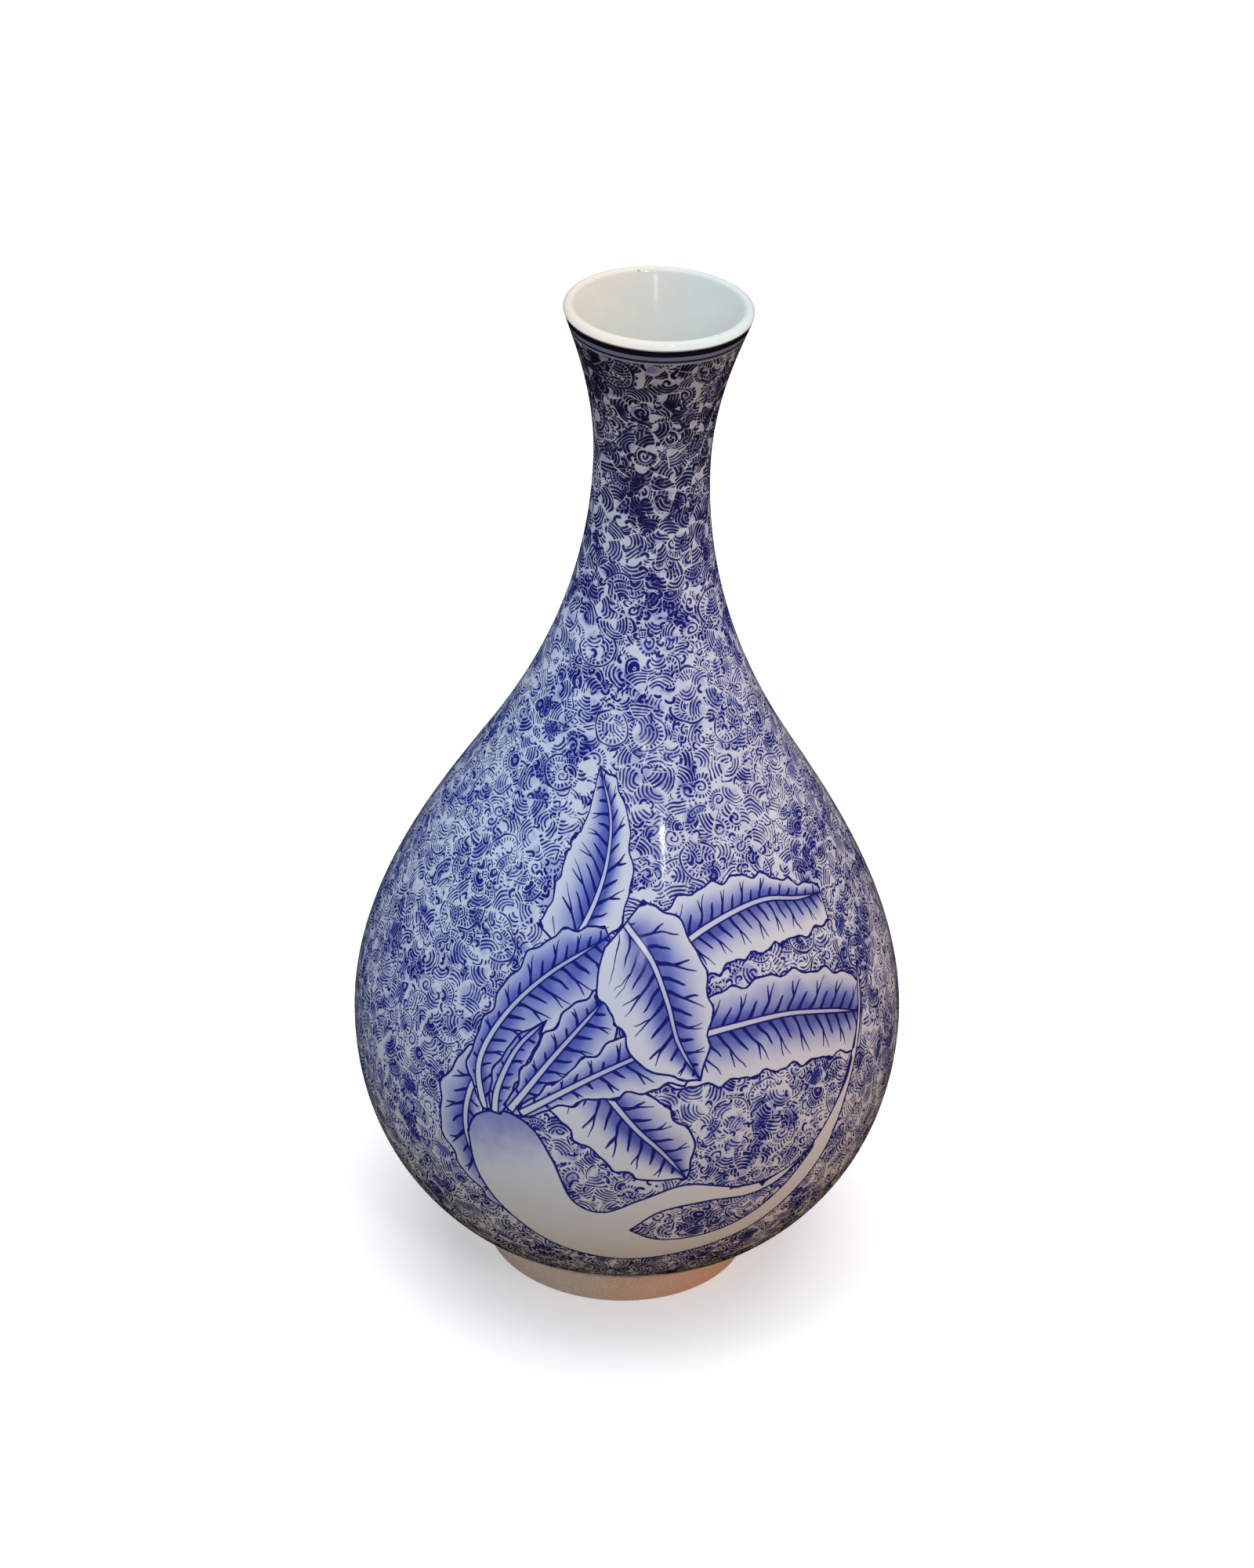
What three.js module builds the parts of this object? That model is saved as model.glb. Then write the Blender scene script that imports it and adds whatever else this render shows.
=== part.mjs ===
// Tall porcelain sake bottle with a pear-shaped belly, a slim neck and a trumpet mouth.
// Millimetres, +Z up. The origin is the centre of the foot ring's resting face.
//
// The wall is thrown in sections that are luted together and fired as one: a bare foot ring,
// a lower body with the base, an upper body, and a neck with the mouth. Glaze covers the outside
// down to the foot, the inside and the lip, and the recess under the base.

import * as THREE from 'three';

// ---- driving dimensions -------------------------------------------------------------------

// Foot ring: bare clay, a little wider at the top than at the floor.
const footHeight = 10.5;
const footRadius = 36.4;
const footFlare = 1.5;
const footRingWidth = 5.6;
const footEdgeChamfer = 0.8;

// Outside of the glazed bottle, section by section, each rise measured from the one below.
const bellyRise = 63.2;
const bellyRadius = 73.6;
const shoulderRise = 78.2;
const shoulderRadius = 41.9;
const waistRise = 85.1;
const waistRadius = 14.8;
const mouthRise = 41.15;
const mouthRadius = 23.6;

// How far the outline leans from the upright, in degrees.
const underBellyLean = 62.8;
const shoulderLean = 32.5;
const mouthLean = 18.8;

// Pull of the outline's curves, as shares of the rise each one covers.
const underBellyPull = { low: 0.27, high: 0.57 };
const bellyPull = { low: 0.36, high: 0.33 };
const shoulderPull = { low: 0.28, high: 0.43 };
const waistPull = { low: 0.45, high: 0.22 };

// Clay thickness, without the glaze.
const baseWall = 5.0;
const bellyWall = 4.4;
const waistWall = 3.0;
const lipWall = 2.0;
const glazeThickness = 0.4;

// The base stands this far above the floor, and the foot's inside is bare up to this height.
const recessDepth = 6.5;
const bareInsideFoot = 1.6;

// ---- facets -------------------------------------------------------------------------------

const roundSegments = 36;
const underBellySteps = 7;
const bellySteps = 6;
const shoulderSteps = 5;
const waistSteps = 4;
const lipSteps = 5;

// The neck is luted to the upper body this many steps above the shoulder.
const neckJointStep = 2;

// ---- outline ------------------------------------------------------------------------------

const UP = new THREE.Vector2(0, 1);

// A direction leaning from the upright by an angle: outwards when positive, inwards when negative.
function leaning(degrees) {
  const angle = THREE.MathUtils.degToRad(degrees);
  return new THREE.Vector2(Math.sin(angle), Math.cos(angle));
}

// A smooth stretch of outline between two heights, leaving and arriving along given directions.
function stretch(start, startDirection, startPull, end, endDirection, endPull) {
  const rise = end.y - start.y;
  const leave = start.clone().addScaledVector(startDirection, startPull * rise);
  const arrive = end.clone().addScaledVector(endDirection, -endPull * rise);
  return new THREE.CubicBezierCurve(start, leave, arrive, end);
}

// Outline stations: a point on the glazed outside, its outward normal and the clay thickness there.
function stationsAlong(curve, steps, wallStart, wallEnd, includeEnd) {
  const stations = [];
  const last = includeEnd ? steps : steps - 1;
  for (let step = 0; step <= last; step += 1) {
    const share = step / steps;
    const tangent = curve.getTangentAt(share);
    stations.push({
      point: curve.getPointAt(share),
      normal: new THREE.Vector2(tangent.y, -tangent.x),
      wall: THREE.MathUtils.lerp(wallStart, wallEnd, share),
    });
  }
  return stations;
}

const footTop = new THREE.Vector2(footRadius + footFlare, footHeight);
const belly = new THREE.Vector2(bellyRadius, footTop.y + bellyRise);
const shoulder = new THREE.Vector2(shoulderRadius, belly.y + shoulderRise);
const waist = new THREE.Vector2(waistRadius, shoulder.y + waistRise);
const mouth = new THREE.Vector2(mouthRadius, waist.y + mouthRise);

const underBellyCurve = stretch(
  footTop, leaning(underBellyLean), underBellyPull.low, belly, UP, underBellyPull.high);
const bellyCurve = stretch(
  belly, UP, bellyPull.low, shoulder, leaning(-shoulderLean), bellyPull.high);
const shoulderCurve = stretch(
  shoulder, leaning(-shoulderLean), shoulderPull.low, waist, UP, shoulderPull.high);
const waistCurve = stretch(
  waist, UP, waistPull.low, mouth, leaning(mouthLean), waistPull.high);

const stations = [
  ...stationsAlong(underBellyCurve, underBellySteps, baseWall, bellyWall, false),
  ...stationsAlong(bellyCurve, bellySteps, bellyWall, bellyWall, false),
  ...stationsAlong(shoulderCurve, shoulderSteps, bellyWall, waistWall, false),
  ...stationsAlong(waistCurve, waistSteps, waistWall, lipWall, true),
];
const bellyJoint = underBellySteps;
const neckJoint = underBellySteps + bellySteps + neckJointStep;
const lipStation = stations.length - 1;

// The point a depth below the glazed outside at one station.
function below(station, depth) {
  return station.point.clone().addScaledVector(station.normal, -depth);
}

// Four surfaces through the wall, from the outside in.
const outsideGlaze = stations.map((station) => station.point);
const outsideClay = stations.map((station) => below(station, glazeThickness));
const insideClay = stations.map((station) => below(station, glazeThickness + station.wall));
const insideGlaze = stations.map((station) => below(station, 2 * glazeThickness + station.wall));

// The lip is a half round that carries the outside over to the inside.
const lipTurn = Math.PI;
const lipClayRadius = lipWall / 2;
const lipCentre = below(stations[lipStation], glazeThickness + lipClayRadius);

function lipArc(radius) {
  const arc = [];
  const outward = stations[lipStation].normal;
  for (let step = 1; step < lipSteps; step += 1) {
    const offset = outward.clone().multiplyScalar(radius);
    offset.rotateAround(new THREE.Vector2(0, 0), (lipTurn * step) / lipSteps);
    arc.push(lipCentre.clone().add(offset));
  }
  return arc;
}

const lipClay = lipArc(lipClayRadius);
const lipGlaze = lipArc(lipClayRadius + glazeThickness);

// ---- foot and base ------------------------------------------------------------------------

const ringInnerRadius = footRadius - footRingWidth;
const baseUndersideEdge = new THREE.Vector2(ringInnerRadius, recessDepth);
const baseUndersideCentre = new THREE.Vector2(0, recessDepth);

// The floor inside is dished: it rises from the centre with the square of the radius.
const floorEdge = insideClay[0];
const floorCentre = new THREE.Vector2(0, recessDepth + baseWall);
const floorMiddle = new THREE.Vector2(
  floorEdge.x / 2, THREE.MathUtils.lerp(floorCentre.y, floorEdge.y, 0.25));

// ---- pieces -------------------------------------------------------------------------------

function reversed(points) {
  return [...points].reverse();
}

// A closed ring turned about the bottle's axis; the outline runs up outside and down inside.
function turnedRing(outline) {
  return new THREE.LatheGeometry([...outline, outline[0].clone()], roundSegments);
}

// A solid turned about the axis, whose outline starts and ends on it.
function turnedSolid(outline) {
  return new THREE.LatheGeometry(outline, roundSegments);
}

const bisque = { color: 0xc9a98c, roughness: 0.85, metalness: 0 };
const whiteClay = { color: 0xe4e0d8, roughness: 0.8, metalness: 0 };
const blueAndWhiteGlaze = { color: 0x8f97cd, roughness: 0.15, metalness: 0 };
const whiteGlaze = { color: 0xe3e6e2, roughness: 0.12, metalness: 0 };

const bottle = new THREE.Group();

function addPiece(name, geometry, finish) {
  const piece = new THREE.Mesh(geometry, new THREE.MeshStandardMaterial(finish));
  piece.name = name;
  piece.rotation.x = Math.PI / 2;
  bottle.add(piece);
}

function footRing() {
  return turnedRing([
    new THREE.Vector2(ringInnerRadius + footEdgeChamfer, 0),
    new THREE.Vector2(footRadius - footEdgeChamfer, 0),
    new THREE.Vector2(footRadius, footEdgeChamfer),
    outsideClay[0],
    baseUndersideEdge,
    new THREE.Vector2(ringInnerRadius, bareInsideFoot),
    new THREE.Vector2(ringInnerRadius, footEdgeChamfer),
  ]);
}

function lowerBody() {
  return turnedSolid([
    baseUndersideCentre,
    baseUndersideEdge,
    ...outsideClay.slice(0, bellyJoint + 1),
    ...reversed(insideClay.slice(0, bellyJoint + 1)),
    floorMiddle,
    floorCentre,
  ]);
}

function upperBody() {
  return turnedRing([
    ...outsideClay.slice(bellyJoint, neckJoint + 1),
    ...reversed(insideClay.slice(bellyJoint, neckJoint + 1)),
  ]);
}

function neck() {
  return turnedRing([
    ...outsideClay.slice(neckJoint),
    ...lipClay,
    ...reversed(insideClay.slice(neckJoint)),
  ]);
}

function outerGlaze() {
  return turnedRing([
    ...outsideGlaze,
    ...reversed(outsideClay),
  ]);
}

// The inside glaze runs from the bottle's floor up over the lip to the outside glaze.
function innerGlaze() {
  const raised = new THREE.Vector2(0, glazeThickness);
  return turnedSolid([
    floorCentre,
    floorMiddle,
    ...insideClay,
    ...reversed(lipClay),
    outsideClay[lipStation],
    outsideGlaze[lipStation],
    ...lipGlaze,
    ...reversed(insideGlaze),
    floorMiddle.clone().add(raised),
    floorCentre.clone().add(raised),
  ]);
}

// The glaze under the base stops short of the floor, where the foot's inside is wiped bare.
function baseGlaze() {
  const skinRadius = ringInnerRadius - glazeThickness;
  return turnedSolid([
    new THREE.Vector2(0, recessDepth - glazeThickness),
    new THREE.Vector2(skinRadius, recessDepth - glazeThickness),
    new THREE.Vector2(skinRadius, bareInsideFoot),
    new THREE.Vector2(ringInnerRadius, bareInsideFoot),
    baseUndersideEdge,
    baseUndersideCentre,
  ]);
}

addPiece('foot_ring', footRing(), bisque);
addPiece('lower_body', lowerBody(), whiteClay);
addPiece('upper_body', upperBody(), whiteClay);
addPiece('neck', neck(), whiteClay);
addPiece('outer_glaze', outerGlaze(), blueAndWhiteGlaze);
addPiece('inner_glaze', innerGlaze(), whiteGlaze);
addPiece('base_glaze', baseGlaze(), whiteGlaze);

export default bottle;
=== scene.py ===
"""A tall porcelain sake bottle with a painted radish over a fine printed ground, in cobalt under clear glaze.

Metres, +Z up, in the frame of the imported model. The painter's shapes are laid out flat, in millimetres.
Across is the turn round the bottle times its widest radius, from the middle of the front and positive to
the right, and up is the distance along the outline from the top of the foot.
"""

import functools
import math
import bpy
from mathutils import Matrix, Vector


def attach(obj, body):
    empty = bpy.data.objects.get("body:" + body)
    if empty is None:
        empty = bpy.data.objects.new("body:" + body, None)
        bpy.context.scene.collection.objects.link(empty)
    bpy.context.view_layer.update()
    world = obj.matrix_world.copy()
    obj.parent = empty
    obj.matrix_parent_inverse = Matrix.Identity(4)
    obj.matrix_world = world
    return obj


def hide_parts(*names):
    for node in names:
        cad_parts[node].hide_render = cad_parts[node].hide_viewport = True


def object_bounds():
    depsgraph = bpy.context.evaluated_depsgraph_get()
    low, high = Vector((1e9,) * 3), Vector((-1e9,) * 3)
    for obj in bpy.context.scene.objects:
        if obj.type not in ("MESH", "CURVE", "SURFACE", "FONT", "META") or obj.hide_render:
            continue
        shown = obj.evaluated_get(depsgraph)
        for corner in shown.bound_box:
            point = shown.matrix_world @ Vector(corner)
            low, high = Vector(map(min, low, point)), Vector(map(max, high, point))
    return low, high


bl_info = {
    "name": "Blue and White Sake Bottle",
    "version": (1, 0, 0),
    "blender": (4, 5, 0),
    "location": "3D View > Sidebar > Bottle",
    "description": "Builds a pear-shaped porcelain sake bottle with a painted radish over a printed ground",
    "category": "Add Mesh",
}

import bpy
import numpy as np
from bpy.props import FloatProperty, FloatVectorProperty, PointerProperty
from bpy.types import Operator, Panel, PropertyGroup
from mathutils import Quaternion, Vector
from mathutils.geometry import delaunay_2d_cdt

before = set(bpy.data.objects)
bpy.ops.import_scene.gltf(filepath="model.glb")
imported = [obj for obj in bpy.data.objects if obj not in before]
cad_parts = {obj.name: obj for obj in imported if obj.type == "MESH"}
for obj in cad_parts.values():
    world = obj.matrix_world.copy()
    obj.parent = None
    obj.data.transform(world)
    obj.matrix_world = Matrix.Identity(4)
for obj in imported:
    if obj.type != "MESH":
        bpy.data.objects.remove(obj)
CAD_LOW, CAD_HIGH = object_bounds()

MM = 0.001
BODY = "root"
ROUND = 160  # facets round a turned piece
ROW_STEP = 2.5  # mm between the rows of a skin of glaze
HALF_TURN_COLUMNS = 80

# How far the outline leans from the upright, in degrees, and its pulls as shares of each rise.
UNDER_BELLY_LEAN, SHOULDER_LEAN, MOUTH_LEAN = 62.8, -32.5, 18.8
UNDER_BELLY_PULLS, BELLY_PULLS = (0.27, 0.57), (0.36, 0.33)
SHOULDER_PULLS, WAIST_PULLS = (0.28, 0.43), (0.45, 0.22)
NECK_JOINT_SHARE = 0.4  # of the way from the shoulder to the waist
FOOT_CHAMFER = 0.8
BARE_INSIDE_FOOT = 1.6
RIM_BAND = 4.9  # mm of outline that the banding wheel kept for the rim

# How the pieces round the picture are cut, in mm.
CLEAR_OF_LINES = 0.9  # the even net keeps this far from a drawn line
MERGED = 0.02  # corners nearer than this become one

FLOOR_REACH = 7.0
FLOOR_GLOW = 0.34
WORLD_GLOW = 0.48
CAMERA_PLACE, CAMERA_AIM = (0.0, -0.96199, 0.71356), (-0.00262, 0.0, 0.14226)
CAMERA_ROLL, CAMERA_LENS, CAMERA_SENSOR = 2.573, 97.9, 36.0  # degrees, mm and mm


# ---- colours ------------------------------------------------------------------------------------


def linear(code):
    """A colour written as sRGB hex, as the linear red, green and blue that Blender works in."""
    channels = [int(code[at : at + 2], 16) / 255 for at in (1, 3, 5)]
    return tuple(c / 12.92 if c <= 0.04045 else ((c + 0.055) / 1.055) ** 2.4 for c in channels)


# ---- what a user would change --------------------------------------------------------------------


def length(name, description, default):
    return FloatProperty(name=name, description=description, default=default, min=0.0001, unit="LENGTH")


def colour(name, description, code):
    return FloatVectorProperty(
        name=name, description=description, default=linear(code), size=3, min=0, max=1, subtype="COLOR"
    )


class BottleSizes(PropertyGroup):
    """Sizes of the bottle's outline and wall; the heights are above the floor."""

    foot_height: length("Foot height", "Top of the bare foot ring", 0.0105)
    foot_radius: length("Foot radius", "Foot ring at the floor, outside", 0.0364)
    foot_top_radius: length("Foot top radius", "Glazed outline where it meets the foot ring", 0.0379)
    foot_ring_width: length("Foot ring width", "Width of the ring that touches the table", 0.0056)
    belly_height: length("Belly height", "Height of the widest place", 0.0737)
    belly_radius: length("Belly radius", "Radius at the widest place", CAD_HIGH.x)
    shoulder_height: length("Shoulder height", "Height where the shoulder leans most", 0.1519)
    shoulder_radius: length("Shoulder radius", "Radius where the shoulder leans most", 0.0419)
    waist_height: length("Neck waist height", "Height of the slimmest place", 0.2370)
    waist_radius: length("Neck waist radius", "Radius at the slimmest place", 0.0148)
    mouth_height: length("Mouth height", "Height where the lip begins", 0.27815)
    mouth_radius: length("Mouth radius", "Outside radius where the lip begins", 0.0236)
    base_wall: length("Base wall", "Clay thickness of the base", 0.0050)
    belly_wall: length("Belly wall", "Clay thickness of the belly", 0.0044)
    waist_wall: length("Neck wall", "Clay thickness of the neck", 0.0030)
    lip_wall: length("Lip wall", "Clay thickness at the lip", 0.0020)
    glaze: length("Glaze thickness", "Thickness of every skin of glaze", 0.0004)
    recess: length("Base recess", "Height of the base above the floor", 0.0065)


class PaintSizes(PropertyGroup):
    """Sizes of the painter's strokes and motifs."""

    motif: length("Motif size", "Width of one small motif of the printed ground", 0.0052)
    pitch: length("Arc spacing", "Distance between the arcs of a fan", 0.00092)
    stroke: length("Stroke width", "Width of a printed stroke", 0.00044)
    outline: length("Outline width", "Width of the brush line round a leaf or the root", 0.00062)
    vein_step: length("Vein spacing", "Distance between the long side veins of a leaf", 0.0084)
    midrib: length("Midrib width", "Width of a leaf's pale midrib at its base", 0.0016)


class BottleColours(PropertyGroup):
    """Colours of the clay, the glaze and the cobalt."""

    ink: colour("Cobalt line", "Thick cobalt of lines and strokes", "#1a1c6e")
    # Dark cobalt: the rim's lines, and painted shade on the cobalt near the mouth, the foot and the right.
    dark_ink_and_shade: colour("Dark cobalt, painted shade", "Dark cobalt of the rim lines, and painted shade on lines near mouth, foot and right", "#1c1930")
    wash: colour("Cobalt wash", "Thin cobalt brushed between the lines", "#5360ae")
    leaf_wash: colour("Leaf wash", "Cobalt brushed thinly over a leaf", "#5e6ab6")
    porcelain: colour("Glazed porcelain", "White body under clear glaze", "#c2c5d2")
    lip: colour("White glaze", "Unpainted glaze of the lip and the inside", "#d3dcda")
    lip_warm: colour("Warm glaze", "Inside glaze towards the left, warmer", "#e2dccf")
    foot: colour("Bare clay", "Unglazed foot ring", "#ab9584")
    foot_flush_and_warm_light: colour("Fire-flushed clay, painted warm light", "Foot ring flushed in the kiln, with painted warm light on its right side", "#b78a69")


class StudioSettings(PropertyGroup):
    """The floor and lamps."""

    floor: colour("Floor", "Colour of the floor", "#f6f6f6")
    lamp: FloatProperty(
        name="Ceiling light", description="Power of the ceiling light", default=40.0, min=0, unit="POWER"
    )


# ---- nodes --------------------------------------------------------------------------------------

# The setting that a kind of node is chosen by when its kind is written with a dot, such as Math.ADD.
CHOICES = {
    "Math": "operation", "VectorMath": "operation", "MapRange": "interpolation_type", "Mix": "data_type",
}


def add(tree, kind, inputs=(), out=0, **settings):
    """Adds one node with its settings and gives one of its outputs.

    Its inputs are linked or set, in order or by name, and the kind may carry the node's choice after a dot.
    """
    kind, _, choice = kind.partition(".")
    made = tree.nodes.new("ShaderNode" + kind)
    if choice:
        settings[CHOICES[kind]] = choice
    for name, value in settings.items():
        setattr(made, name, value)
    sockets = [socket for socket in made.inputs if socket.enabled]
    named = {socket.name: socket for socket in sockets}
    for key, value in inputs.items() if isinstance(inputs, dict) else enumerate(inputs):
        socket = named[key] if isinstance(key, str) else sockets[key]
        if isinstance(value, bpy.types.NodeSocket):
            tree.links.new(value, socket)
        else:
            socket.default_value = value
    given = [socket for socket in made.outputs if socket.enabled]
    return made.outputs[out] if isinstance(out, str) else (given[out] if given else made)


def finish_of(name, build):
    """The material of that name, made once: build adds its nodes and gives its shader."""
    known = bpy.data.materials.get(name)
    if known:
        return known
    material = bpy.data.materials.new(name)
    material.use_nodes = True
    tree = material.node_tree
    tree.nodes.clear()
    shader = build(functools.partial(add, tree))
    add(tree, "OutputMaterial", {"Surface": shader})
    return material


def rgba(shade):
    return (*shade, 1.0)


# ---- outline ------------------------------------------------------------------------------------


def leaning(degrees):
    """A direction leaning outwards from the upright by an angle."""
    return np.array((math.sin(math.radians(degrees)), math.cos(math.radians(degrees))))


def stretch(start, start_lean, end, end_lean, pulls, samples=500):
    """Points and directions of a smooth run of outline between two heights."""
    rise = end[1] - start[1]
    leave = start + leaning(start_lean) * pulls[0] * rise
    arrive = end - leaning(end_lean) * pulls[1] * rise
    share = np.linspace(0, 1, samples)[:, None]
    rest = 1 - share
    points = rest**3 * start + 3 * rest**2 * share * leave + 3 * rest * share**2 * arrive + share**3 * end
    ways = rest**2 * (leave - start) + 2 * rest * share * (arrive - leave) + share**2 * (end - arrive)
    return points, ways / np.linalg.norm(ways, axis=1, keepdims=True)


class Outline:
    """The glazed outside seen from the side, in mm, by the distance along it from the top of the foot."""

    def __init__(self, sizes):
        places = [
            np.array((getattr(sizes, name + "_radius"), getattr(sizes, height + "_height"))) / MM
            for name, height in (
                ("foot_top", "foot"), ("belly", "belly"), ("shoulder", "shoulder"), ("waist", "waist"),
                ("mouth", "mouth"),
            )
        ]
        leans = (UNDER_BELLY_LEAN, 0, SHOULDER_LEAN, 0, MOUTH_LEAN)
        pulls = (UNDER_BELLY_PULLS, BELLY_PULLS, SHOULDER_PULLS, WAIST_PULLS)
        names = ("base", "belly", "belly", "waist", "lip")
        walls = [getattr(sizes, name + "_wall") / MM for name in names]
        runs, points, ways, wall, reached = [0.0], [], [], [], []
        for part in range(4):
            line, way = stretch(places[part], leans[part], places[part + 1], leans[part + 1], pulls[part])
            steps = np.r_[0, np.cumsum(np.hypot(*np.diff(line, axis=0).T))]
            reached.append(runs[-1] + steps)
            wall.append(walls[part] + (walls[part + 1] - walls[part]) * steps / steps[-1])
            runs.append(runs[-1] + steps[-1])
            points.append(line)
            ways.append(way)
        self.reached, self.wall_line = np.concatenate(reached), np.concatenate(wall)
        self.points, self.ways = np.concatenate(points), np.concatenate(ways)
        self.belly, self.shoulder, self.waist, self.end = runs[1:]
        self.neck_joint = self.shoulder + NECK_JOINT_SHARE * (self.waist - self.shoulder)
        self.widest = places[1][0]
        self.glaze = sizes.glaze / MM
        self.foot_radius = sizes.foot_radius / MM
        self.ring_inside = (sizes.foot_radius - sizes.foot_ring_width) / MM
        self.recess, self.floor = sizes.recess / MM, (sizes.recess + sizes.base_wall) / MM
        self.lip_radius = sizes.lip_wall / MM / 2

    def at(self, run):
        """Radius, height and outward direction at a distance along the outline."""
        look = [np.interp(run, self.reached, column) for column in (*self.points.T, *self.ways.T)]
        return look[0], look[1], look[3], -look[2]

    def below(self, run, depth, with_wall=0):
        """Points that deep under the glazed outside, and deeper by a share of the clay wall."""
        radius, height, out, up = self.at(np.atleast_1d(run))
        deep = depth + with_wall * np.interp(run, self.reached, self.wall_line)
        return np.stack((radius - out * deep, height - up * deep), 1)

    def wrap(self, flat, depth=0.0):
        """Places on the bottle, and the outward directions there, for points laid out flat."""
        radius, height, out, up = self.at(flat[:, 1])
        turn = flat[:, 0] / self.widest
        side = np.stack((np.sin(turn), -np.cos(turn)), 1)
        outward = np.column_stack((side * out[:, None], up))
        return np.column_stack((side * radius[:, None], height)) - outward * depth, outward


@functools.cache
def outline():
    return Outline(bpy.context.scene.bottle_sizes)


def rows_between(low, high, step=ROW_STEP):
    """Distances along the outline from low to high in even steps."""
    return np.linspace(low, high, max(2, round((high - low) / step) + 1))


# ---- meshes -------------------------------------------------------------------------------------


def place(mesh, material, slot, *nodes):
    """Puts a finished mesh in the scene as a piece of its name that stands for those CAD nodes."""
    mesh.materials.append(material)
    piece = bpy.data.objects.new(mesh.name, mesh)
    bpy.context.scene.collection.objects.link(piece)
    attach(piece, BODY)
    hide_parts(*nodes)


def turned(name, section, sharp=40):
    """A solid turned about the upright axis from a section of radius and height in mm, outside upwards."""
    section = np.asarray(section, float)
    turns = np.arange(ROUND) * 2 * math.pi / ROUND
    places, rings = [], []
    for radius, height in section:
        if radius < 1e-6:
            rings.append([len(places)] * ROUND)
            places.append((0, 0, height * MM))
        else:
            rings.append(list(range(len(places), len(places) + ROUND)))
            places.extend((radius * MM * math.sin(t), -radius * MM * math.cos(t), height * MM) for t in turns)
    on_axis = section[0][0] < 1e-6
    pairs = list(zip(rings, rings[1:])) if on_axis else list(zip(rings, rings[1:] + rings[:1]))
    faces = []
    for lower, upper in pairs:
        for at in range(ROUND):
            corners = (lower[at], lower[at - ROUND + 1], upper[at - ROUND + 1], upper[at])
            faces.append(tuple(dict.fromkeys(corners)))
    mesh = bpy.data.meshes.new(name)
    mesh.from_pydata(places, [], faces)
    mesh.shade_smooth()
    mesh.set_sharp_from_angle(angle=math.radians(sharp))
    return mesh


def skin(name, flat, faces, **values):
    """A closed skin of glaze over corners laid out flat; values are stored at its corners."""
    glaze = outline().glaze
    front, outward = outline().wrap(flat)
    back, _ = outline().wrap(flat, glaze)
    count = len(flat)
    sides = {(face[at - 1], face[at]) for face in faces for at in range(len(face))}
    walls = [(b, a, a + count, b + count) for a, b in sorted(sides) if (b, a) not in sides]
    backs = [tuple(corner + count for corner in reversed(face)) for face in faces]
    mesh = bpy.data.meshes.new(name)
    mesh.from_pydata((np.concatenate((front, back)) * MM).tolist(), [], [*faces, *backs, *walls])
    mesh.shade_smooth()
    smooth = np.ones(len(mesh.polygons), bool)
    smooth[len(faces) * 2 :] = False
    mesh.polygons.foreach_set("use_smooth", smooth)
    corners = np.zeros(len(mesh.loops), int)
    mesh.loops.foreach_get("vertex_index", corners)
    directions = np.concatenate((outward, -outward))[corners]
    directions[sum(map(len, faces)) * 2 :] = 0
    mesh.normals_split_custom_set(directions.tolist())
    for key, numbers in values.items():
        stored = mesh.attributes.new(key, "FLOAT", "POINT")
        stored.data.foreach_set("value", np.tile(numbers, 2).astype(np.float32))
    return mesh


def grid(low_across, high_across, columns, rows):
    """Corners and faces of an even net laid out flat."""
    across, up = np.meshgrid(np.linspace(low_across, high_across, columns + 1), rows)
    flat = np.column_stack((across.ravel(), up.ravel()))
    wide = columns + 1
    corners = [row * wide + column for row in range(len(rows) - 1) for column in range(columns)]
    return flat, [(at, at + 1, at + wide + 1, at + wide) for at in corners]


# ---- the picture --------------------------------------------------------------------------------

# Each shape has a rib and its half widths on the left and on the right of it, at even shares of its length,
# in mm laid out flat. They are listed from the one painted first to the one painted last.
LEAVES_BEHIND = {
    "leaf_folded": {
        "rib": ((-37, 99), (-42, 88), (-42, 75), (-36, 62), (-29, 50)),
        "left": (6, 6, 6, 6, 6, 4, 0),
        "right": (6, 8, 9, 8.5, 7, 4.5, 0),
    },
    "leaf_upright": {
        "rib": ((-20, 130), (-13.2, 145), (-10.6, 157), (-12.4, 168), (-21.5, 179)),
        "left": (13, 15, 17, 17.5, 15.5, 10, 0),
        "right": (6, 9, 11.5, 10.5, 8, 5.5, 0),
    },
    "leaf_upper_right": {
        "rib": ((12, 131), (24, 137), (38, 140.5), (52, 141), (66, 137.5), (78, 135)),
        "left": (12, 11, 9.5, 8, 6, 4.5, 2.5),
        "right": (9, 12, 12, 13, 12, 10, 8),
    },
    "leaf_right": {
        "rib": ((10, 109), (30, 111.5), (48, 111), (64, 106.5), (79, 100)),
        "left": (10, 10, 10, 11, 11, 11, 8),
        "right": (11.5, 14, 14.5, 14.5, 13.5, 12, 10),
    },
    "leaf_lower": {
        "rib": ((-10, 102), (-3, 94), (4, 86), (11, 79), (18, 70)),
        "left": (3, 5, 9, 10, 9.5, 7.5, 0),
        "right": (15, 15, 14.5, 13, 12, 8.5, 0),
    },
}
# The root and the window of ground between its legs are drawn by their upper and lower margins.
ROOT_SHAPE = {
    "rib": (
        (-32, 86), (-28, 72), (-20, 56), (-4, 48), (20, 54), (44, 57), (64, 78), (76, 98), (84, 116),
    ),
    "upper": (
        (-42, 76), (-39.5, 82), (-31.5, 85.8), (-23, 83), (-16.8, 74), (-11.8, 62.2), (-4, 58.8), (6, 64),
        (18, 68.6), (33, 65), (43.5, 65.5), (53.4, 69.8), (63, 80.5), (70.5, 91.7), (76.1, 100.1),
        (79.9, 108.6), (84, 116),
    ),
    "lower": (
        (-42, 76), (-39, 63), (-31, 51.5), (-17, 40.8), (2, 36.3), (22, 39.6), (40, 46), (53, 56.5),
        (60.8, 66.3), (67.7, 80.6), (73, 90.4), (77.8, 99.2), (81.4, 107.8), (84, 116),
    ),
}
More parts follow.
